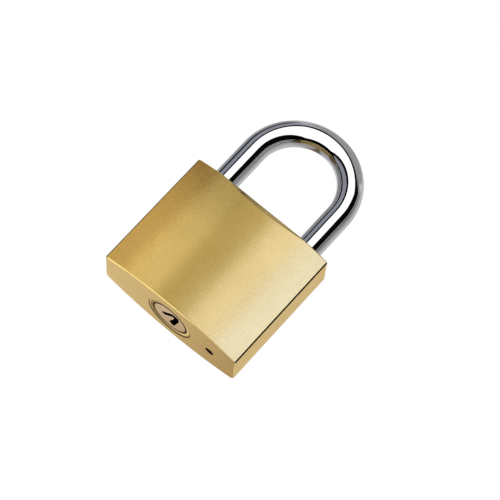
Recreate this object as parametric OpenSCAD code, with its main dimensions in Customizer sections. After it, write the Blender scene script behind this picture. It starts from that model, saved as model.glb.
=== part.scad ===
// Solid brass pin-tumbler padlock with a hardened, chrome-plated shackle.
// X runs across the width, Y from the front (negative) to the back, Z up towards the shackle.
// The origin is the middle of the bottom face. The toe leg is at -X and the heel leg at +X.

/* [Body] */
// Width of the body, side to side
body_w = 40; // [38:0.5:42]
// Height of the body, without the shackle
body_h = 33.5; // [33:0.1:35]
// Thickness of the body at its middle
middle_t = 18; // [17:0.1:19]
// Thickness of the body at its two narrow ends
end_t = 11.6; // [10.6:0.1:12.2]
// Radius of the upright edges at the back
back_edge_r = 1.8; // [1:0.1:2.2]
// Setback of the flat bevel along the top front and top back edges
top_bevel = 1.5; // [1:0.1:2]
// Width of the small break on the other outer edges
edge_break = 0.25; // [0.1:0.05:0.4]
// Diameter of the small drain hole under the heel leg
drain_d = 2.4; // [1.2:0.1:2.8]

/* [Shackle] */
// Diameter of the shackle bar
bar_d = 6.5; // [6.2:0.1:6.8]
// Distance between the two legs, centre to centre
leg_spacing = 26.2; // [25.8:0.1:27]
// Height of the straight legs above the body, up to where the arch begins
leg_rise = 12.5; // [8:0.5:24]
// How far the shackle lifts when it is open
lift = 13; // [12.5:0.1:13.2]

/* [Plug] */
// Diameter of the turning plug
plug_d = 10.5; // [10.3:0.1:10.7]
// Depth of the plug's face behind the bottom face
plug_recess = 0.2; // [0.2:0.1:0.8]
// Outer diameter of the chamfered ring round the plug
ring_d = 12.8; // [12.4:0.1:13.2]
// Diameter of the key pins and driver pins
pin_d = 2.4; // [2.2:0.1:2.4]
// Spacing of the pins along the plug
pin_pitch = 2.8; // [2.7:0.05:2.8]

/* [Latches] */
// Diameter of the two sliding latches
latch_d = 5.9; // [5.7:0.1:6]
// Depth of the latches' axis below the top face
latch_depth = 7.5; // [7.4:0.1:7.6]
// How far each latch slides
latch_travel = 1.2; // [1.1:0.05:1.2]

/* [Fits] */
// Radial gap of the parts that turn or slide in the body
running_gap = 0.05; // [0.03:0.01:0.06]
// Radial gap of the shackle legs in their bores
leg_gap = 0.1; // [0.08:0.01:0.12]

/* [Hidden] */
$fn = 96;
eps = 0.01;
over = 1;

// Body: the front and back faces are arcs of this radius, swept straight up
half_w = body_w / 2;
bulge = (middle_t - end_t) / 2;
face_r = (half_w * half_w + bulge * bulge) / (2 * bulge);
face_centre_y = face_r - middle_t / 2;
face_slope = asin(half_w / face_r);
fillet_x = half_w - back_edge_r;
fillet_y = sqrt(pow(face_r - back_edge_r, 2) - fillet_x * fillet_x) - face_centre_y;
tangent_x = fillet_x * face_r / (face_r - back_edge_r);

// Heights of the features inside, measured from the bottom face
first_pin_z = 3.8;
pin_count = 5;
pin_z = [for (i = [0 : pin_count - 1]) first_pin_z + i * pin_pitch];
retaining_z = pin_z[pin_count - 1] + 2.6;
plug_top = retaining_z + 1.6;
cam_top = plug_top + 2.8;
latch_z = body_h - latch_depth;
toe_bore_floor = 21.4;
toe_leg_end = 22;
heel_bore_floor = 2;
heel_leg_end = 7.6;

// Plug and pins
plug_r = plug_d / 2;
plug_bore_r = plug_r + running_gap;
chamber_r = pin_d / 2 + running_gap;
groove_r = plug_r - 1.1;
keyway_top = retaining_z - 1;
key_pin_out = plug_r - 0.2;
driver_in = plug_bore_r + 0.05;
shortest_key_pin = 2.7;
depth_step = 0.3;
depth_steps = [1, 3, 0, 4, 2];
pin_stack = 8;
cap_out = half_w - 0.06;
cap_in = half_w - 1.8;
drain_x = 12.4;

// Shackle
leg_x = leg_spacing / 2;
bar_r = bar_d / 2;
leg_bore_r = bar_r + leg_gap;
arch_z = body_h + leg_rise;
notch_half_h = latch_d / 2 + 0.1;
neck_low = heel_leg_end + 2.2;
neck_high = latch_z + notch_half_h - lift + 0.25;

// Latches: places are given with the latches drawn in
latch_r = latch_d / 2;
channel_r = latch_r + running_gap;
toe_tip = leg_x - leg_bore_r - 0.1;
heel_tip = leg_x - bar_r + 0.25;
latch_gap = 0.1;
shoulder_x = 5.6;
tail_x = 3.2;
channel_cap_in = half_w - 2.9;

// Cam: two upright drive pins on a disc, half a travel to each side at either end of the turn
cam_r = 4.2;
cam_bore_r = 4.6;
drive_pin_r = 0.5;
drive_offset = latch_travel / 2;
pocket_depth = 1.5;

// Springs
pin_wire = 0.3;
latch_wire = 0.3;
shackle_wire = 0.7;

brass = [0.80, 0.64, 0.33];
plug_brass = [0.78, 0.62, 0.42];
pin_brass = [0.82, 0.68, 0.36];
chrome = [0.82, 0.83, 0.85];
steel = [0.62, 0.63, 0.65];
spring_steel = [0.50, 0.51, 0.53];

// A cylinder that lies along X, from x_from to x_to
module rod_x(x_from, x_to, r) {
    translate([x_from, 0, 0])
        rotate([0, 90, 0])
            cylinder(r = r, h = x_to - x_from);
}

// ---- Body ----

// A tall drum whose side is one curved face of the body, with both rims broken
module face_drum(side) {
    translate([0, -side * face_centre_y, 0])
        rotate_extrude($fn = 720)
            polygon([
                [0, 0], [face_r - edge_break, 0], [face_r, edge_break],
                [face_r, body_h - edge_break], [face_r - edge_break, body_h], [0, body_h]
            ]);
}

// The body seen from the front: a rectangle with its four corners broken
module end_profile() {
    rotate([90, 0, 0])
        linear_extrude(height = 2 * middle_t, center = true)
            polygon([
                [-half_w + edge_break, 0], [half_w - edge_break, 0],
                [half_w, edge_break], [half_w, body_h - edge_break],
                [half_w - edge_break, body_h], [-half_w + edge_break, body_h],
                [-half_w, body_h - edge_break], [-half_w, edge_break]
            ]);
}

// What is taken off to round the upright edge at the back right
module back_corner_cut() {
    difference() {
        translate([tangent_x, fillet_y, -over])
            cube([half_w, middle_t, body_h + 2 * over]);
        translate([fillet_x, fillet_y, -2 * over])
            cylinder(r = back_edge_r, h = body_h + 4 * over);
    }
}

// What is taken off to break the upright edge at the front right
module front_corner_cut() {
    translate([half_w, -end_t / 2, -over])
        rotate([0, 0, -(90 - face_slope) / 2])
            translate([-edge_break / 2, -2, 0])
                cube([4, 4, body_h + 2 * over]);
}

// What is taken off to bevel the top front edge
module top_front_cut() {
    translate([-body_w, -middle_t / 2, body_h - top_bevel])
        rotate([45, 0, 0])
            translate([0, -top_bevel, 0])
                cube([2 * body_w, 4 * top_bevel, 2 * top_bevel]);
}

module body_block() {
    difference() {
        intersection() {
            face_drum(1);
            face_drum(-1);
            end_profile();
        }
        for (flip = [0, 1])
            mirror([flip, 0, 0]) {
                back_corner_cut();
                front_corner_cut();
            }
        top_front_cut();
        mirror([0, 1, 0])
            top_front_cut();
    }
}

// A leg's bore, open at the top, with a small chamfer at its mouth
module leg_bore(x, floor_z) {
    chamfer = 0.3;
    translate([x, 0, floor_z])
        cylinder(r = leg_bore_r, h = body_h - floor_z + over);
    translate([x, 0, body_h - chamfer])
        cylinder(r1 = leg_bore_r, r2 = leg_bore_r + chamfer + eps, h = chamfer + eps);
}

// The bore of the plug, with the chamfered ring at its mouth and the cam's room above it
module plug_bore() {
    cone_h = plug_recess;
    translate([0, 0, -over])
        cylinder(r = plug_bore_r, h = plug_top + 0.1 + over);
    translate([0, 0, -eps])
        cylinder(r1 = ring_d / 2, r2 = plug_bore_r, h = cone_h + eps);
    translate([0, 0, plug_top])
        cylinder(r = cam_bore_r, h = cam_top + 2 - plug_top);
}

// A pin chamber, drilled from the narrow side on the toe's side
module chamber(z) {
    translate([0, 0, z])
        rod_x(-half_w - over, -plug_r + 0.5, chamber_r);
}

module drain_hole() {
    mouth = 0.35;
    translate([drain_x, 0, -over])
        cylinder(r = drain_d / 2, h = heel_bore_floor + 2 * over);
    translate([drain_x, 0, -eps])
        cylinder(r1 = drain_d / 2 + mouth, r2 = drain_d / 2, h = mouth);
}

module body() {
    color(brass)
        difference() {
            body_block();
            leg_bore(-leg_x, toe_bore_floor);
            leg_bore(leg_x, heel_bore_floor);
            plug_bore();
            for (z = concat(pin_z, [retaining_z]))
                chamber(z);
            translate([0, 0, latch_z])
                rod_x(-half_w - over, leg_x, channel_r);
            drain_hole();
        }
}

// ---- Shackle ----

// A slab that cuts a leg of the +X side on its inner side, as far as x_to
module inner_cut(x_to, z_from, z_to) {
    translate([x_to - bar_d, -bar_d, z_from])
        cube([bar_d, 2 * bar_d, z_to - z_from]);
}

module leg(x, end_z) {
    tip = 0.5;
    translate([x, 0, end_z + tip])
        cylinder(r = bar_r, h = arch_z - end_z - tip);
    translate([x, 0, end_z])
        cylinder(r1 = bar_r - tip, r2 = bar_r, h = tip);
}

// The ring that is turned off the heel leg, so that the open shackle can swing
module heel_neck() {
    neck_r = leg_x - heel_tip - latch_travel - latch_gap;
    translate([leg_x, 0, 0])
        difference() {
            translate([0, 0, neck_low])
                cylinder(r = bar_d, h = neck_high - neck_low);
            translate([0, 0, neck_low - over])
                cylinder(r = neck_r, h = neck_high - neck_low + 2 * over);
        }
}

module shackle() {
    notch_low = latch_z - notch_half_h;
    notch_high = latch_z + notch_half_h;
    color(chrome)
        difference() {
            union() {
                translate([0, 0, arch_z])
                    rotate([90, 0, 0])
                        rotate_extrude(angle = 180)
                            translate([leg_x, 0])
                                circle(r = bar_r);
                leg(-leg_x, toe_leg_end);
                leg(leg_x, heel_leg_end);
            }
            mirror([1, 0, 0])
                inner_cut(toe_tip + latch_travel + latch_gap, notch_low, notch_high);
            inner_cut(heel_tip + latch_travel + latch_gap, notch_low, notch_high);
            inner_cut(heel_tip + latch_gap, neck_high - eps, notch_low + eps);
            heel_neck();
        }
}

// ---- Plug and cam ----

// The keyway's outline: a narrow slot folded into two slanting strokes that meet towards the front
module keyway_outline() {
    polygon([
        [-2.5, 0.1], [-2.4, -0.3], [0.5, -3.4], [1.3, -3.7], [2.4, -3.4], [2.8, -2.6],
        [2.6, -1.2], [1.9, 1.2], [1.4, 3], [0.8, 3.2], [0.1, 2.7], [-0.1, 1.9],
        [0.8, 0], [1.2, -1.6], [1.1, -2.3], [-1.5, 0.5], [-2.2, 0.6]
    ]);
}

module tang(gap) {
    tang_h = 1.2;
    translate([-2 - gap, -0.8 - gap, plug_top - tang_h - gap])
        cube([4 + 2 * gap, 1.6 + 2 * gap, tang_h + gap + eps]);
}

module plug() {
    face_break = 0.25;
    groove_half_h = 0.85;
    chamber_end = -0.1;
    color(plug_brass)
        difference() {
            union() {
                translate([0, 0, plug_recess + face_break])
                    cylinder(r = plug_r, h = plug_top - plug_recess - face_break);
                translate([0, 0, plug_recess])
                    cylinder(r1 = plug_r - face_break, r2 = plug_r, h = face_break);
            }
            translate([0, 0, plug_recess - over])
                linear_extrude(height = keyway_top - plug_recess + over)
                    keyway_outline();
            for (z = pin_z)
                translate([0, 0, z])
                    rod_x(-plug_d, chamber_end, chamber_r);
            difference() {
                translate([0, 0, retaining_z - groove_half_h])
                    cylinder(r = plug_d, h = 2 * groove_half_h);
                translate([0, 0, retaining_z - groove_half_h - over])
                    cylinder(r = groove_r, h = 2 * groove_half_h + 2 * over);
            }
            tang(0.05);
        }
}

module cam() {
    color(steel)
        union() {
            translate([0, 0, plug_top])
                cylinder(r = cam_r, h = cam_top - plug_top);
            tang(0);
            for (side = [-1, 1])
                translate([side * drive_offset, side * drive_offset, cam_top - over])
                    cylinder(r = drive_pin_r, h = latch_z + 1.4 - cam_top + over);
        }
}

// ---- Pins ----

function key_pin_length(i) = shortest_key_pin + depth_steps[i] * depth_step;
function driver_length(i) = pin_stack - key_pin_length(i);

// A key pin: a small chamfer at the outer end, a blunt point towards the keyway
module key_pin(i) {
    point = 0.9;
    r = pin_d / 2;
    color(pin_brass)
        translate([-key_pin_out, 0, pin_z[i]])
            rotate([0, 90, 0])
                rotate_extrude()
                    polygon([
                        [0, 0], [r - 0.2, 0], [r, 0.2],
                        [r, key_pin_length(i) - point], [0.35, key_pin_length(i)], [0, key_pin_length(i)]
                    ]);
}

module driver_pin(i) {
    r = pin_d / 2;
    length = driver_length(i);
    color(steel)
        translate([-driver_in, 0, pin_z[i]])
            rotate([0, -90, 0])
                rotate_extrude()
                    polygon([
                        [0, 0], [r - 0.15, 0], [r, 0.15],
                        [r, length - 0.3], [r - 0.3, length], [0, length]
                    ]);
}

// ---- Springs ----

// Height of the wire's centre after t turns of n: one closed turn at each end, open ones between
function coil_z(t, n, length, wire) =
    let (closed = 1.05 * wire, open = (length - wire - 2 * closed) / (n - 2))
    wire / 2 + (
        t < 1 ? t * closed :
        t > n - 1 ? length - wire - (n - t) * closed :
        closed + (t - 1) * open
    );

// A round-wire compression spring along +Z from the origin
module coil_spring(outer_r, wire, length, turns, steps = 12, sides = 6) {
    count = round(turns * steps);
    mean_r = outer_r - wire / 2;
    points = [
        for (i = [0 : count], j = [0 : sides - 1])
            let (
                a = 360 * i / steps,
                b = 360 * j / sides,
                r = mean_r + wire / 2 * cos(b),
                z = coil_z(i / steps, turns, length, wire) + wire / 2 * sin(b)
            )
            [r * cos(a), r * sin(a), z]
    ];
    walls = [
        for (i = [0 : count - 1], j = [0 : sides - 1])
            let (
                p = i * sides + j,
                q = i * sides + (j + 1) % sides
            )
            each [[p, q, p + sides], [q, q + sides, p + sides]]
    ];
    first_cap = [for (j = [sides - 1 : -1 : 0]) j];
    last_cap = [for (j = [0 : sides - 1]) count * sides + j];
    polyhedron(points = points, faces = concat(walls, [first_cap, last_cap]), convexity = 8);
}

module pin_spring(i) {
    seat = 0.05;
    start = driver_in + driver_length(i) + seat;
    color(spring_steel)
        translate([-start, 0, pin_z[i]])
            rotate([0, -90, 0])
                coil_spring(chamber_r - 0.15, pin_wire, cap_in - seat - start, 8);
}

module shackle_spring() {
    seat = 0.05;
    color(spring_steel)
        translate([leg_x, 0, heel_bore_floor + seat])
            coil_spring(leg_bore_r - 0.3, shackle_wire, heel_leg_end - heel_bore_floor - 2 * seat, 5.5, 20);
}

// The spring at the end of one latch's tail, on the front side for the toe latch
module latch_spring(side) {
    seat = 0.05;
    color(spring_steel)
        translate([side * (tail_x + seat), -side * (latch_r / 2 + 0.05), latch_z])
            rotate([0, side * 90, 0])
                coil_spring(1.2, latch_wire, shoulder_x - tail_x - 2 * seat, 5);
}

// ---- Latches ----

// A latch drawn in, with its nose towards +X, its tail on the back side and its pocket for a drive pin
module latch(tip_x) {
    pocket_from = -drive_offset - drive_pin_r - 0.05;
    pocket_to = drive_offset + drive_pin_r + 0.1;
    color(steel)
        translate([0, 0, latch_z])
            difference() {
                rod_x(-tail_x, tip_x, latch_r);
                translate([-body_w, -body_w + latch_gap, -body_w])
                    cube([body_w + shoulder_x, body_w, 2 * body_w]);
                translate([pocket_from, -over, -body_w])
                    cube([pocket_to - pocket_from, pocket_depth + over, 2 * body_w]);
                translate([tip_x, -body_w / 2, 0.8])
                    rotate([0, -45, 0])
                        cube([latch_d, body_w, body_w]);
            }
}

// ---- Small fixed parts ----

// A plug that closes a drilled hole, with its outer rim broken
module side_cap(z, r, x_in) {
    rim = 0.12;
    translate([-x_in, 0, z])
        rotate([0, -90, 0])
            rotate_extrude()
                polygon([
                    [0, 0], [r, 0], [r, cap_out - x_in - rim], [r - rim, cap_out - x_in], [0, cap_out - x_in]
                ]);
}

module chamber_caps() {
    color(brass)
        for (z = pin_z)
            side_cap(z, chamber_r, cap_in);
}

module latch_channel_cap() {
    color(brass)
        side_cap(latch_z, channel_r, channel_cap_in);
}

// The pin beside the plug: its thin tip stands in the plug's groove
module plug_retaining_pin() {
    tip_r = 0.75;
    color(brass)
        union() {
            side_cap(retaining_z, chamber_r, plug_bore_r + 0.3);
            translate([0, 0, retaining_z])
                rod_x(-plug_bore_r - 0.3 - eps, -groove_r - 0.1, tip_r);
        }
}

body();
shackle();
plug();
cam();
plug_retaining_pin();
key_pin(0);  // key_pin_1
key_pin(1);  // key_pin_2
key_pin(2);  // key_pin_3
key_pin(3);  // key_pin_4
key_pin(4);  // key_pin_5
driver_pin(0);  // driver_pin_1
driver_pin(1);  // driver_pin_2
driver_pin(2);  // driver_pin_3
driver_pin(3);  // driver_pin_4
driver_pin(4);  // driver_pin_5
pin_spring(0);  // pin_spring_1
pin_spring(1);  // pin_spring_2
pin_spring(2);  // pin_spring_3
pin_spring(3);  // pin_spring_4
pin_spring(4);  // pin_spring_5
chamber_caps();
rotate([0, 0, 180]) latch(toe_tip);  // toe_latch
latch(heel_tip);  // heel_latch
latch_spring(1);  // toe_latch_spring
latch_spring(-1);  // heel_latch_spring
latch_channel_cap();
shackle_spring();
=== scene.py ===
import math

import bmesh
import bpy
from mathutils import Matrix, Vector


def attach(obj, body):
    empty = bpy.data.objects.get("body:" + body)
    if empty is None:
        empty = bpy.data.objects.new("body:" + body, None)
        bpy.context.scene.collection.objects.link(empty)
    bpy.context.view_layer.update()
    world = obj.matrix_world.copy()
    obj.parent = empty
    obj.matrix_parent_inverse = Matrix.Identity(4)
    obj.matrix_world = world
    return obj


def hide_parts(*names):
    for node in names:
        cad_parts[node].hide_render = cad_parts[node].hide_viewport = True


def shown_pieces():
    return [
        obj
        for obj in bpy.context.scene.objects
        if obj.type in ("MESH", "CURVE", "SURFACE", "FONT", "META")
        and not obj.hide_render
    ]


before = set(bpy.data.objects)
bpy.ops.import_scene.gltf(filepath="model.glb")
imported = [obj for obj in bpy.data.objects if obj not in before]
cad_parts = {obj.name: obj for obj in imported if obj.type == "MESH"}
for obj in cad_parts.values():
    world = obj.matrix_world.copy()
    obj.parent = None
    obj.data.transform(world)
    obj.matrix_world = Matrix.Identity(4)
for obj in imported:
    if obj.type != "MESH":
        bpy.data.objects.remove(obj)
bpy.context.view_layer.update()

MM = 0.001


# ---- Sizes, in millimetres, as in the CAD source ----

HALF_W, BODY_H = 20.0, 33.5
HALF_T, END_HALF_T = 9.0, 5.8
FACE_R = (HALF_W**2 + (HALF_T - END_HALF_T) ** 2) / (2 * (HALF_T - END_HALF_T))
FACE_CENTRE_Y = FACE_R - HALF_T
FRONT_EDGE_R, BACK_EDGE_R = 0.45, 1.8
TOP_BEVEL, EDGE_BREAK = 1.5, 0.25

LEG_X, BAR_R, LEG_BORE_R, ARCH_Z = 13.1, 3.25, 3.35, 46.0
TOE_BORE_FLOOR, TOE_LEG_END = 21.4, 22.0
HEEL_BORE_FLOOR, HEEL_LEG_END = 2.0, 7.6
LATCH_Z, CHANNEL_R = 26.0, 3.0
NOTCH_HALF_H, TOE_NOTCH_X, HEEL_NOTCH_X, HEEL_FLAT_X = 3.05, 10.95, 11.4, 10.2
NECK_R, NECK_LOW, NECK_HIGH = 1.7, 9.8, 16.3

PLUG_R, PLUG_BORE_R, PLUG_FACE_Z, PLUG_TOP = 5.25, 5.3, 0.2, 19.2
RING_R, RING_DEPTH, CAM_BORE_R, CAM_ROOM_TOP = 6.4, 1.5, 4.6, 24.0
PIN_Z = [3.8 + 2.8 * i for i in range(5)]
RETAINING_Z, CHAMBER_R = 17.6, 1.25
DRAIN_X, DRAIN_R = 12.4, 1.2
KEYWAY_TOP = 16.6
KEYWAY = [
    (-2.5, 0.1), (-2.4, -0.3), (0.5, -3.4), (1.3, -3.7), (2.4, -3.4), (2.8, -2.6),
    (2.6, -1.2), (1.9, 1.2), (1.4, 3.0), (0.8, 3.2), (0.1, 2.7), (-0.1, 1.9),
    (0.8, 0.0), (1.2, -1.6), (1.1, -2.3), (-1.5, 0.5), (-2.2, 0.6),
]


# ---- Mesh helpers ----

def new_piece(name, points, faces):
    """A mesh object from points and faces, with its normals turned outwards."""
    mesh = bpy.data.meshes.new(name)
    mesh.from_pydata([Vector(p) for p in points], [], faces)
    work = bmesh.new()
    work.from_mesh(mesh)
    bmesh.ops.recalc_face_normals(work, faces=work.faces)
    work.to_mesh(mesh)
    work.free()
    piece = bpy.data.objects.new(name, mesh)
    bpy.context.scene.collection.objects.link(piece)
    return piece


def rings_to_mesh(name, rings):
    """A closed skin over a stack of rings that all have the same number of points."""
    count = len(rings[0])
    points = [p for ring in rings for p in ring]
    faces = [
        (k * count + i, k * count + (i + 1) % count,
         (k + 1) * count + (i + 1) % count, (k + 1) * count + i)
        for k in range(len(rings) - 1)
        for i in range(count)
    ]
    faces.append(tuple(reversed(range(count))))
    faces.append(tuple((len(rings) - 1) * count + i for i in range(count)))
    return new_piece(name, points, faces)


def turned(name, profile, place, segments=96):
    """A solid of revolution from (radius, height) pairs, put in place by a matrix in millimetres."""
    rings = [
        [
            place @ Vector((r * math.cos(a), r * math.sin(a), h))
            for a in (2 * math.pi * i / segments for i in range(segments))
        ]
        for r, h in profile
    ]
    return rings_to_mesh(name, rings)


def turned_tube(name, profile, place, segments=96):
    """A ring from a closed outline of (radius, height) pairs."""
    count = len(profile)
    points = [
        place @ Vector((r * math.cos(a), r * math.sin(a), h))
        for a in (2 * math.pi * i / segments for i in range(segments))
        for r, h in profile
    ]
    faces = [
        (i * count + k, i * count + (k + 1) % count,
         (i + 1) % segments * count + (k + 1) % count, (i + 1) % segments * count + k)
        for i in range(segments)
        for k in range(count)
    ]
    return new_piece(name, points, faces)


def prism(name, outline, z_from, z_to):
    """An upright solid from an outline in X and Y."""
    return rings_to_mesh(name, [[(x, y, z) for x, y in outline] for z in (z_from, z_to)])


def box_between(name, low, high):
    """A block between two opposite corners."""
    outline = [(low[0], low[1]), (high[0], low[1]), (high[0], high[1]), (low[0], high[1])]
    return prism(name, outline, low[2], high[2])


def upright(x):
    """Stands a turned solid on the axis at x, with its heights along +Z."""
    return Matrix.Translation((x, 0, 0))


def lying(z):
    """Takes heights to -X, from the middle plane outwards to the toe's side."""
    return Matrix.Translation((0, 0, z)) @ Matrix.Rotation(math.radians(-90), 4, "Y")


def cut(piece, *cutters):
    """Takes each cutter away from the piece, and then deletes the cutter."""
    for cutter in cutters:
        step = piece.modifiers.new("cut", "BOOLEAN")
        step.operation, step.solver, step.object = "DIFFERENCE", "EXACT", cutter
        view = bpy.context.evaluated_depsgraph_get()
        piece.data = bpy.data.meshes.new_from_object(piece.evaluated_get(view))
        piece.modifiers.clear()
        bpy.data.objects.remove(cutter)
    return piece


def finish_piece(piece, body, nodes, sharp_angle=28):
    """Brings a piece from millimetres to metres, shades it, ties it to its CAD body and hides the CAD
    nodes that it replaces.
    """
    piece.data.transform(Matrix.Scale(MM, 4))
    piece.data.shade_smooth()
    piece.data.set_sharp_from_angle(angle=math.radians(sharp_angle))
    weights = piece.modifiers.new("face_weighted_normals", "WEIGHTED_NORMAL")
    weights.keep_sharp = True
    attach(piece, body)
    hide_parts(*nodes)
    return piece


# ---- Body ----

def body_outline(face_steps=120, front_steps=1, back_steps=14):
    """Points of the body's outline with their outward directions, anticlockwise from the front left."""
    def edge_circle(side, r):
        y = math.sqrt((FACE_R - r) ** 2 - (HALF_W - r) ** 2) - FACE_CENTRE_Y
        slope = math.degrees(math.asin((HALF_W - r) / (FACE_R - r)))
        return HALF_W - r, side * y, slope

    front_x, front_y, front_slope = edge_circle(-1, FRONT_EDGE_R)
    back_x, back_y, back_slope = edge_circle(1, BACK_EDGE_R)
    arcs = [
        (0, FACE_CENTRE_Y, FACE_R, -90 - front_slope, -90 + front_slope, face_steps),
        (front_x, front_y, FRONT_EDGE_R, -90 + front_slope, 0, front_steps),
        (back_x, back_y, BACK_EDGE_R, 0, 90 - back_slope, back_steps),
        (0, -FACE_CENTRE_Y, FACE_R, 90 - back_slope, 90 + back_slope, face_steps),
        (-back_x, back_y, BACK_EDGE_R, 90 + back_slope, 180, back_steps),
        (-front_x, front_y, FRONT_EDGE_R, 180, 270 - front_slope, front_steps),
    ]
    points = []
    for x, y, r, start, end, steps in arcs:
        for i in range(steps + 1):
            a = math.radians(start + (end - start) * i / steps)
            out = Vector((math.cos(a), math.sin(a)))
            if not points or (Vector((x, y)) + r * out - points[-1][0]).length > 1e-4:
                points.append((Vector((x, y)) + r * out, out))
    if (points[0][0] - points[-1][0]).length < 1e-4:
        points.pop()
    return points


def rounded_corner(before, corner, after, reach, steps=4):
    """Points of a small curve that takes the place of a corner."""
    a = corner + (before - corner).normalized() * reach
    b = corner + (after - corner).normalized() * reach
    return [
        (1 - t) ** 2 * a + 2 * t * (1 - t) * corner + t**2 * b
        for t in (i / steps for i in range(steps + 1))
    ]


def column(bevel):
    """(setback, height) pairs from the bottom rim to the top rim, for one point of the outline."""
    reach, low_reach = min(0.1, 0.3 * bevel), 0.08
    low_out, low_in = Vector((0, EDGE_BREAK)), Vector((EDGE_BREAK, 0))
    high_out, high_in = Vector((0, BODY_H - bevel)), Vector((bevel, BODY_H))
    middle = Vector((3, 0))
    return [
        *rounded_corner(middle, low_in, low_out, low_reach),
        *rounded_corner(low_in, low_out, high_out, low_reach),
        *rounded_corner(low_out, high_out, high_in, reach),
        *rounded_corner(high_out, high_in, Vector((3, BODY_H)), reach),
    ]


def body_block():
    """The undrilled body: over the bowed faces its top edge bevel turns straight back."""
    bevel_turn = 0.4
    columns = []
    for point, out in body_outline():
        sag = HALF_T - abs(point.y)
        bevel = max(TOP_BEVEL - sag, EDGE_BREAK)
        across = Vector((0, math.copysign(1, point.y)))
        blend = min(max((bevel - EDGE_BREAK) / bevel_turn, 0), 1)
        upper = out.lerp(across, blend).normalized()
        columns.append([
            (*(point - setback * (upper if z > BODY_H / 2 else out)), z)
            for setback, z in column(bevel)
        ])
    rings = [list(ring) for ring in zip(*columns)]
    return rings_to_mesh("body_case", rings)


def leg_bore(x, floor_z):
    mouth = 0.3
    return turned("leg_bore", [
        (LEG_BORE_R, floor_z), (LEG_BORE_R, BODY_H - mouth),
        (LEG_BORE_R + mouth, BODY_H), (LEG_BORE_R + mouth, BODY_H + 1),
    ], upright(x))


def plug_bore():
    seat_r = RING_R + 0.08
    return turned("plug_bore", [
        (seat_r, -1), (seat_r, RING_DEPTH), (PLUG_BORE_R, RING_DEPTH),
        (PLUG_BORE_R, PLUG_TOP + 0.1), (CAM_BORE_R, PLUG_TOP + 0.1), (CAM_BORE_R, CAM_ROOM_TOP),
    ], upright(0), 144)


def build_ring():
    """The nearly flat ring round the plug, parted from the body by a fine groove; its material paints
    shade at the groove to darken it.
    """
    step_r, rim_r = RING_R - 0.68, RING_R - 0.1
    ring = turned_tube("plug_ring", [
        (PLUG_BORE_R, PLUG_FACE_Z), (step_r - 0.04, PLUG_FACE_Z - 0.03),
        (step_r + 0.04, PLUG_FACE_Z - 0.05), (rim_r, 0.11), (rim_r + 0.06, 0.13),
        (RING_R, 0.22), (RING_R, RING_DEPTH), (PLUG_BORE_R, RING_DEPTH),
    ], upright(0), 144)
    return finish_piece(ring, "housing", ["body"])


def drain_hole():
    return turned("drain_hole", [
        (DRAIN_R + 0.04, -0.1), (DRAIN_R, 0.06), (DRAIN_R, HEEL_BORE_FLOOR + 0.5),
    ], upright(DRAIN_X), 48)


def drilled(z, r, inner, outer=HALF_W + 1):
    """A cross drilling from the toe's side, between two distances from the middle plane."""
    return turned("drilled", [(r, inner), (r, outer)], lying(z), 72)


def build_body():
    case = body_block()
    cut(
        case,
        leg_bore(-LEG_X, TOE_BORE_FLOOR), leg_bore(LEG_X, HEEL_BORE_FLOOR),
        plug_bore(), drain_hole(),
        drilled(LATCH_Z, CHANNEL_R, -LEG_X),
        *(drilled(z, CHAMBER_R, PLUG_R - 0.5) for z in [*PIN_Z, RETAINING_Z]),
    )
    return finish_piece(case, "housing", ["body"])


# ---- Shackle ----

def leg_rings(x, end_z, upwards, segments):
    """Rings of one straight leg with its rounded-off end, in the order in which the bar runs."""
    tip = 0.5
    levels = [(end_z, BAR_R - tip), (end_z + tip, BAR_R), (ARCH_Z, BAR_R)]
    return [
        [
            (x + r * math.cos(a) * (1 if upwards else -1), r * math.sin(a), z)
            for a in (2 * math.pi * i / segments for i in range(segments))
        ]
        for z, r in (levels if upwards else reversed(levels))
    ]


def build_shackle(segments=96, arch_steps=128):
    rings = leg_rings(LEG_X, HEEL_LEG_END, True, segments)
    for k in range(1, arch_steps):
        turn = math.pi * k / arch_steps
        rings.append([
            (
                (LEG_X + BAR_R * math.cos(a)) * math.cos(turn),
                BAR_R * math.sin(a),
                ARCH_Z + (LEG_X + BAR_R * math.cos(a)) * math.sin(turn),
            )
            for a in (2 * math.pi * i / segments for i in range(segments))
        ])
    rings += leg_rings(-LEG_X, TOE_LEG_END, False, segments)
    shackle = rings_to_mesh("shackle_bar", rings)
    low, high = LATCH_Z - NOTCH_HALF_H, LATCH_Z + NOTCH_HALF_H
    neck = [
        (NECK_R, NECK_LOW), (5, NECK_LOW), (5, NECK_HIGH - 0.05), (NECK_R, NECK_HIGH - 0.05),
    ]
    ring = turned_tube("neck", neck, upright(LEG_X))
    cut(
        shackle,
        box_between("toe_notch", (-TOE_NOTCH_X, -4, low), (-5, 4, high)),
        box_between("heel_notch", (5, -4, low), (HEEL_NOTCH_X, 4, high)),
        box_between("heel_flat", (5, -4.1, NECK_HIGH - 0.06), (HEEL_FLAT_X, 4.1, low + 0.05)),
        ring,
    )
    return finish_piece(shackle, "shackle", ["shackle"])


# ---- Plug ----

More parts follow.
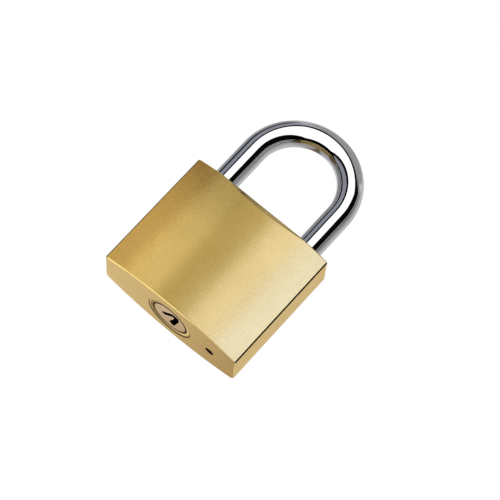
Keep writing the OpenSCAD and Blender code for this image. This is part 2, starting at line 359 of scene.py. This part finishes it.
def build_plug():
    rim, groove_r, groove_half_h = 0.3, PLUG_R - 1.1, 0.85
    plug = turned("plug_core", [
        (PLUG_R - rim - 0.08, PLUG_FACE_Z), (PLUG_R - rim, PLUG_FACE_Z + 0.03),
        (PLUG_R - 0.03, PLUG_FACE_Z + rim - 0.05), (PLUG_R, PLUG_FACE_Z + rim + 0.03),
        (PLUG_R, RETAINING_Z - groove_half_h), (groove_r, RETAINING_Z - groove_half_h),
        (groove_r, RETAINING_Z + groove_half_h), (PLUG_R, RETAINING_Z + groove_half_h),
        (PLUG_R, PLUG_TOP),
    ], upright(0), 144)
    cut(
        plug,
        prism("keyway", KEYWAY, PLUG_FACE_Z - 1, KEYWAY_TOP),
        box_between("tang_slot", (-2.05, -0.85, PLUG_TOP - 1.25), (2.05, 0.85, PLUG_TOP + 1)),
        *(drilled(z, CHAMBER_R, 0.1, 7) for z in PIN_Z),
    )
    return finish_piece(plug, "plug", ["plug"])


# ---- Material helpers ----

class Nodes:
    """A short way to add and join the nodes of one tree."""

    def __init__(self, tree):
        self.tree = tree

    def add(self, kind, values=None, **settings):
        made = self.tree.nodes.new(kind)
        for key, value in settings.items():
            setattr(made, key, value)
        for key, value in (values or {}).items():
            if isinstance(value, bpy.types.NodeSocket):
                self.tree.links.new(value, made.inputs[key])
            else:
                made.inputs[key].default_value = value
        return made

    def math(self, operation, a, b=0.0, clamp=False):
        made = self.add("ShaderNodeMath", {0: a, 1: b}, operation=operation)
        made.use_clamp = clamp
        return made.outputs[0]

    def stretched(self, scale):
        place = self.add("ShaderNodeTexCoord").outputs["Object"]
        return self.add("ShaderNodeMapping", {"Vector": place, "Scale": scale}).outputs[0]

    def noise(self, scale, size, detail=3.0, rough=0.55):
        return self.add("ShaderNodeTexNoise", {
            "Vector": self.stretched(scale), "Scale": size, "Detail": detail, "Roughness": rough,
        }).outputs["Fac"]

    def between(self, value, low, high, from_low=0.3, from_high=0.7):
        return self.add("ShaderNodeMapRange", {
            "Value": value, "From Min": from_low, "From Max": from_high, "To Min": low, "To Max": high,
        }).outputs[0]

    def mix(self, factor, first, second, blend="MIX"):
        """A Mix node's colours go in at sockets 6 and 7, and come out at 2."""
        return self.add("ShaderNodeMix", {"Factor": factor, 6: first, 7: second},
                        data_type="RGBA", blend_type=blend).outputs[2]

    def tint(self, factor, first, second):
        return self.mix(factor, (*first, 1.0), (*second, 1.0))

    def multiply(self, color, factor):
        gray = self.add("ShaderNodeCombineColor", {0: factor, 1: factor, 2: factor}).outputs[0]
        return self.mix(1.0, color, gray, "MULTIPLY")


def metal(name, deep, bright, roughness, grain, grain_size, grain_depth, wear=0.0, recess_shade=0.0,
          gap_shade_from=None, edge_tint=(1.0, 1.0, 1.0), speckle=0.0):
    """Worked metal: slow colour drift, stretched fine grain, worn edges and painted shade in recesses,
    where ambient occlusion darkens the colour.

    speckle is the strength of a satin finish's coarser grain, about a third of a millimetre across.
    From the radius it is given outwards, in millimetres round the Z axis, the colour is darkened:
    painted shade for the shaded gap at the plug's rim and the ring's outer groove.
    """
    material = bpy.data.materials.new(name)
    material.use_nodes = True
    n = Nodes(material.node_tree)
    shader = next(x for x in material.node_tree.nodes if x.type == "BSDF_PRINCIPLED")
    shader.inputs["Metallic"].default_value = 1.0
    shader.inputs["Specular Tint"].default_value = (*edge_tint, 1.0)

    drift = n.noise((1, 1, 1), 90.0, 4.0)
    fine = n.noise(grain, grain_size, 5.0, 0.7)
    color = n.tint(n.between(drift, 0.0, 1.0), deep, bright)
    color = n.multiply(color, n.between(fine, 0.94, 1.04))
    if speckle:
        coarse = n.noise(EVEN_GRAIN, 2800.0, 2.0)
        color = n.multiply(color, n.between(coarse, 1 - speckle, 1 + speckle))

    low, high = roughness
    spread = n.between(fine, low, high, 0.25, 0.75)
    cloud = n.between(n.noise((1, 1, 1), 160.0, 3.0), -0.025, 0.025)
    rough = n.math("ADD", spread, cloud, clamp=True)

    bump = n.add("ShaderNodeBump", {"Strength": grain_depth, "Distance": 0.00004, "Height": fine})
    if wear:
        rounded = n.add("ShaderNodeBevel", {"Radius": 0.00025}, samples=6).outputs[0]
        flat = n.add("ShaderNodeNewGeometry").outputs["Normal"]
        dot = n.add("ShaderNodeVectorMath", {0: rounded, 1: flat},
                    operation="DOT_PRODUCT").outputs["Value"]
        edge = n.between(dot, 1.0, 0.0, 0.80, 0.99)
        patchy = n.between(n.noise((1, 1, 1), 700.0, 3.0), 0.35, 1.0)
        edge = n.math("MULTIPLY", edge, patchy, clamp=True)
        polish = n.math("MULTIPLY", edge, wear)
        rough = n.math("SUBTRACT", rough, n.math("MULTIPLY", polish, 0.12), clamp=True)
        color = n.multiply(color, n.math("ADD", 1.0, n.math("MULTIPLY", polish, 0.1)))
    # Painted shade: ambient occlusion darkens the colour in holes, slots, grooves and the corners round
    # the shackle's legs, where shade falls.
    if recess_shade:
        open_sky = n.add("ShaderNodeAmbientOcclusion", {"Distance": 0.003}, samples=8).outputs["AO"]
        painted_recess_shade = n.between(open_sky, recess_shade, 0.0, 0.50, 0.90)
        color = n.multiply(color, n.math("SUBTRACT", 1.0, painted_recess_shade))
    # Painted shade: a dark band from a radius round Z outwards stands in for the shade in the gap at
    # the plug's rim and the ring's outer groove.
    if gap_shade_from:
        place = n.add("ShaderNodeTexCoord").outputs["Object"]
        flat = n.add("ShaderNodeVectorMath", {0: place, 1: (1, 1, 0)}, operation="MULTIPLY").outputs[0]
        reach = n.add("ShaderNodeVectorMath", {0: flat}, operation="LENGTH").outputs["Value"]
        painted_gap_shade = n.between(reach, 1.0, 0.05, gap_shade_from * MM, (gap_shade_from + 0.1) * MM)
        color = n.multiply(color, painted_gap_shade)
    links = material.node_tree.links
    links.new(color, shader.inputs["Base Color"])
    links.new(rough, shader.inputs["Roughness"])
    links.new(bump.outputs[0], shader.inputs["Normal"])
    return material


def paint(obj, material):
    obj.data.materials.clear()
    obj.data.materials.append(material)


# ---- Materials ----

UPRIGHT_GRAIN = (1.0, 1.0, 0.03)
EVEN_GRAIN = (1.0, 1.0, 1.0)
BRASS_EDGE = (0.93, 0.82, 0.60)

# The body, plug and ring get painted shade in their recesses; the plug and ring also get a painted dark
# band at their outer edge.
body_brass = metal("brass_body", (0.83, 0.62, 0.27), (0.89, 0.68, 0.31), (0.18, 0.25),
                   UPRIGHT_GRAIN, 9000.0, 0.08, wear=1.0, recess_shade=0.97, edge_tint=BRASS_EDGE,
                   speckle=0.055)
core_brass = metal("brass_plug", (0.78, 0.56, 0.36), (0.92, 0.76, 0.60), (0.20, 0.30),
                   EVEN_GRAIN, 6000.0, 0.15, wear=0.6, recess_shade=0.97, gap_shade_from=PLUG_R - 0.62,
                   edge_tint=BRASS_EDGE, speckle=0.06)
ring_brass = metal("brass_ring", (0.80, 0.60, 0.27), (0.87, 0.67, 0.33), (0.16, 0.22),
                   EVEN_GRAIN, 6000.0, 0.12, recess_shade=0.5, gap_shade_from=RING_R - 0.16,
                   edge_tint=BRASS_EDGE)
cap_brass = metal("brass_caps", (0.82, 0.61, 0.26), (0.88, 0.67, 0.30), (0.22, 0.30),
                  EVEN_GRAIN, 7000.0, 0.12, edge_tint=BRASS_EDGE)
pin_brass = metal("brass_pins", (0.80, 0.60, 0.25), (0.88, 0.68, 0.32), (0.18, 0.26),
                  EVEN_GRAIN, 5000.0, 0.1, edge_tint=BRASS_EDGE)
chrome = metal("chrome_plate", (0.56, 0.565, 0.575), (0.58, 0.585, 0.60), (0.03, 0.06),
               EVEN_GRAIN, 2500.0, 0.015)
steel = metal("hardened_steel", (0.36, 0.36, 0.37), (0.46, 0.46, 0.47), (0.24, 0.36),
              EVEN_GRAIN, 6000.0, 0.2)
wire = metal("spring_steel", (0.30, 0.30, 0.32), (0.42, 0.42, 0.44), (0.22, 0.34),
             EVEN_GRAIN, 8000.0, 0.15)

paint(build_body(), body_brass)
paint(build_shackle(), chrome)
paint(build_plug(), core_brass)
paint(build_ring(), ring_brass)
NODE_FINISH = {
    "plug_retaining_pin": cap_brass, "chamber_caps": cap_brass, "latch_channel_cap": cap_brass,
    "cam": steel, "toe_latch": steel, "heel_latch": steel,
}
for node_name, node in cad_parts.items():
    if "spring" in node_name:
        paint(node, wire)
    elif node_name.startswith("key_pin"):
        paint(node, pin_brass)
    elif node_name.startswith("driver_pin"):
        paint(node, steel)
    elif node_name in NODE_FINISH:
        paint(node, NODE_FINISH[node_name])


# ---- Camera ----

CAMERA_AZIMUTH, CAMERA_ELEVATION, CAMERA_ROLL = 12.7, -17.8, 43.04
CAMERA_TARGET = Vector((3.38, -1.9, 25.02)) * MM
CAMERA_DISTANCE = 569.7 * MM
LENS, SENSOR = 173.5, 36.0


def direction(azimuth, elevation):
    """Unit vector towards an azimuth and an elevation in radians: 0 is in front, +X is positive."""
    flat = math.cos(elevation)
    return Vector((math.sin(azimuth) * flat, -math.cos(azimuth) * flat, math.sin(elevation)))


def add_camera():
    away = direction(math.radians(CAMERA_AZIMUTH), math.radians(CAMERA_ELEVATION))
    roll = Matrix.Rotation(math.radians(CAMERA_ROLL), 3, "Z")
    turn = (-away).to_track_quat("-Z", "Y").to_matrix() @ roll
    camera = bpy.data.objects.new("camera", bpy.data.cameras.new("camera"))
    camera.data.lens, camera.data.sensor_width = LENS, SENSOR
    camera.data.clip_start = 0.01
    place = Matrix.Translation(CAMERA_TARGET + CAMERA_DISTANCE * away)
    camera.matrix_world = place @ turn.to_4x4()
    bpy.context.scene.collection.objects.link(camera)
    bpy.context.scene.camera = camera


# ---- Studio ----

LIT_CENTRE = Vector((0, 0, 24)) * MM
FAR_PANEL, NEAR_PANEL, NEAREST_PANEL = 0.8, 0.25, 0.22


def panel(name, azimuths, elevations, radiance, receivers, distance=FAR_PANEL):
    """A flat glowing panel over a range of azimuths and elevations, seen by one group of pieces."""
    azimuth = math.radians(sum(azimuths) / 2)
    elevation = math.radians(sum(elevations) / 2)
    half_a = math.radians(azimuths[1] - azimuths[0]) / 2
    half_e = math.radians(elevations[1] - elevations[0]) / 2
    light = bpy.data.lights.new(name, "AREA")
    light.shape = "RECTANGLE"
    light.size = 2 * distance * math.tan(half_a) * max(math.cos(elevation), 0.2)
    light.size_y = 2 * distance * math.tan(half_e)
    strength = max(radiance)
    light.energy = strength * math.pi * light.size * light.size_y
    light.color = [part / strength for part in radiance]
    made = bpy.data.objects.new(name, light)
    away = direction(azimuth, elevation)
    aim = away.to_track_quat("Z", "Y").to_matrix().to_4x4()
    made.matrix_world = Matrix.Translation(LIT_CENTRE + distance * away) @ aim
    made.visible_camera = False
    made.light_linking.receiver_collection = receivers
    bpy.context.scene.collection.objects.link(made)


def collection_of(name, members):
    group = bpy.data.collections.new(name)
    for member in members:
        group.objects.link(member)
    return group


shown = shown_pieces()
bar = collection_of("polished_bar", [o for o in shown if o.name == "shackle_bar"])
rest = collection_of("everything_else", [o for o in shown if o.name != "shackle_bar"])
round_the_plug = ("shackle_bar", "plug_core", "plug_ring")
case = collection_of("case_and_caps", [o for o in shown if o.name not in round_the_plug])

# The polished bar shows narrow bands and the brass broad ones, so each has its own panels.
panel("bar_front", (-29, 28), (-48, 42), (1.9, 1.9, 1.9), bar)
panel("bar_left", (-73, -42), (-48, 60), (0.40, 0.41, 0.48), bar)
panel("bar_left_edge", (-128, -92), (-48, 60), (0.42, 0.42, 0.43), bar)
panel("bar_right_line", (73, 77), (-48, 60), (0.75, 0.75, 0.75), bar)
panel("bar_right", (80, 96), (-48, 60), (0.28, 0.28, 0.28), bar)
panel("bar_right_edge", (96, 126), (-48, 60), (0.52, 0.52, 0.52), bar)

panel("brass_far_left", (-85, -39), (-12, 18), (0.61, 0.50, 0.29), rest, NEAREST_PANEL)
panel("brass_far_left_high", (-85, -39), (19, 50), (0.20, 0.13, 0.04), rest)
panel("brass_left", (-40, -22), (-12, 17), (0.79, 0.73, 0.52), rest, NEAR_PANEL)
panel("brass_left_high", (-40, -22), (18, 46), (0.50, 0.48, 0.34), rest)
panel("brass_middle", (-22, -5), (-6, 45), (0.53, 0.48, 0.28), rest)
panel("brass_right", (-5, 12), (-6, 45), (0.98, 0.99, 1.02), rest)
panel("brass_far_right", (12, 42), (-6, 45), (1.0, 1.17, 1.70), rest)
panel("brass_low_front", (-60, 60), (-60, -12), (0.6, 0.6, 0.6), rest)
panel("brass_edge_line", (-90, -22), (-76, -50), (1.5, 1.4, 1.1), case)
panel("brass_edge_line_right", (-22, 66), (-86, -60), (0.66, 0.62, 0.55), case)
panel("brass_low_left", (-125, -62), (-60, -12), (0.6, 0.6, 0.6), rest)
panel("brass_low_right", (62, 125), (-60, -12), (0.6, 0.6, 0.6), rest)


DARK, BACK = (0.005, 0.004, 0.003), (0.77, 0.76, 0.75)
BRIGHT, WARM = (0.86, 0.86, 0.90), (0.31, 0.23, 0.16)
SURROUNDINGS = [
    (-180, WARM), (-171, WARM), (-165, BRIGHT), (-132, BRIGHT), (-127, DARK), (121, DARK),
    (127, BACK), (171, BACK), (180, WARM),
]
CEILING = (0.48, 0.48, 0.47, 1.0)
BELOW, ABOVE, BEHIND = (-0.58, -0.42), (0.76, 0.86), (-0.1, 0.1)
LOW_FRONT, LOW_BACK = (0.02, 0.02, 0.02), (0.65, 0.65, 0.65)
WHITE = (1.0, 1.0, 1.0, 1.0)


def add_world():
    """What the metal reflects: soft sectors all round, a pale ceiling and darker ground."""
    world = bpy.data.worlds.new("studio")
    bpy.context.scene.world = world
    world.use_nodes = True
    n = Nodes(world.node_tree)
    out = next(x for x in world.node_tree.nodes if x.type == "BACKGROUND")
    way = n.add("ShaderNodeTexCoord").outputs["Generated"]
    split = n.add("ShaderNodeSeparateXYZ", {0: way}).outputs
    turn = n.math("ARCTAN2", split["X"], n.math("MULTIPLY", split["Y"], -1.0))
    around = n.math("DIVIDE", turn, 2 * math.pi)
    around = n.math("ADD", around, 0.5)
    ramp = n.add("ShaderNodeValToRGB", {"Fac": around})
    elements = ramp.color_ramp.elements
    for i, (azimuth, color) in enumerate(SURROUNDINGS):
        at = (azimuth + 180) / 360
        element = elements[i] if i < 2 else elements.new(at)
        element.position, element.color = at, (*color, 1.0)
    low = n.tint(n.between(split["Y"], 0.0, 1.0, *BEHIND), LOW_FRONT, LOW_BACK)
    shade = n.mix(n.between(split["Z"], 0.0, 1.0, *BELOW), low, WHITE)
    sides = n.mix(1.0, ramp.outputs["Color"], shade, "MULTIPLY")
    everywhere = n.mix(n.between(split["Z"], 0.0, 1.0, *ABOVE), sides, CEILING)
    seen = n.add("ShaderNodeLightPath").outputs["Is Camera Ray"]
    world.node_tree.links.new(n.mix(seen, everywhere, WHITE), out.inputs["Color"])


FLOOR_REACH, FLOOR_Z = 9.0, -0.3


def add_floor():
    """A plain pale floor, in metres, well below the camera and out of the metal's reflections."""
    corners = [(-1, -1), (1, -1), (1, 1), (-1, 1)]
    floor = new_piece(
        "floor", [(x * FLOOR_REACH, y * FLOOR_REACH, 0) for x, y in corners], [(0, 1, 2, 3)]
    )
    floor.location.z = FLOOR_Z
    material = bpy.data.materials.new("pale_floor")
    material.use_nodes = True
    n = Nodes(material.node_tree)
    shader = next(x for x in material.node_tree.nodes if x.type == "BSDF_PRINCIPLED")
    shader.inputs["Roughness"].default_value = 0.9
    tone = n.tint(n.noise((1, 1, 1), 3.0), (0.86, 0.86, 0.86), (0.90, 0.90, 0.90))
    material.node_tree.links.new(tone, shader.inputs["Base Color"])
    material.node_tree.links.new(tone, shader.inputs["Emission Color"])
    shader.inputs["Emission Strength"].default_value = 0.6
    paint(floor, material)
    floor.visible_glossy = floor.visible_diffuse = floor.visible_shadow = False


add_camera()
add_world()
add_floor()
bpy.context.scene.view_settings.view_transform = "Standard"
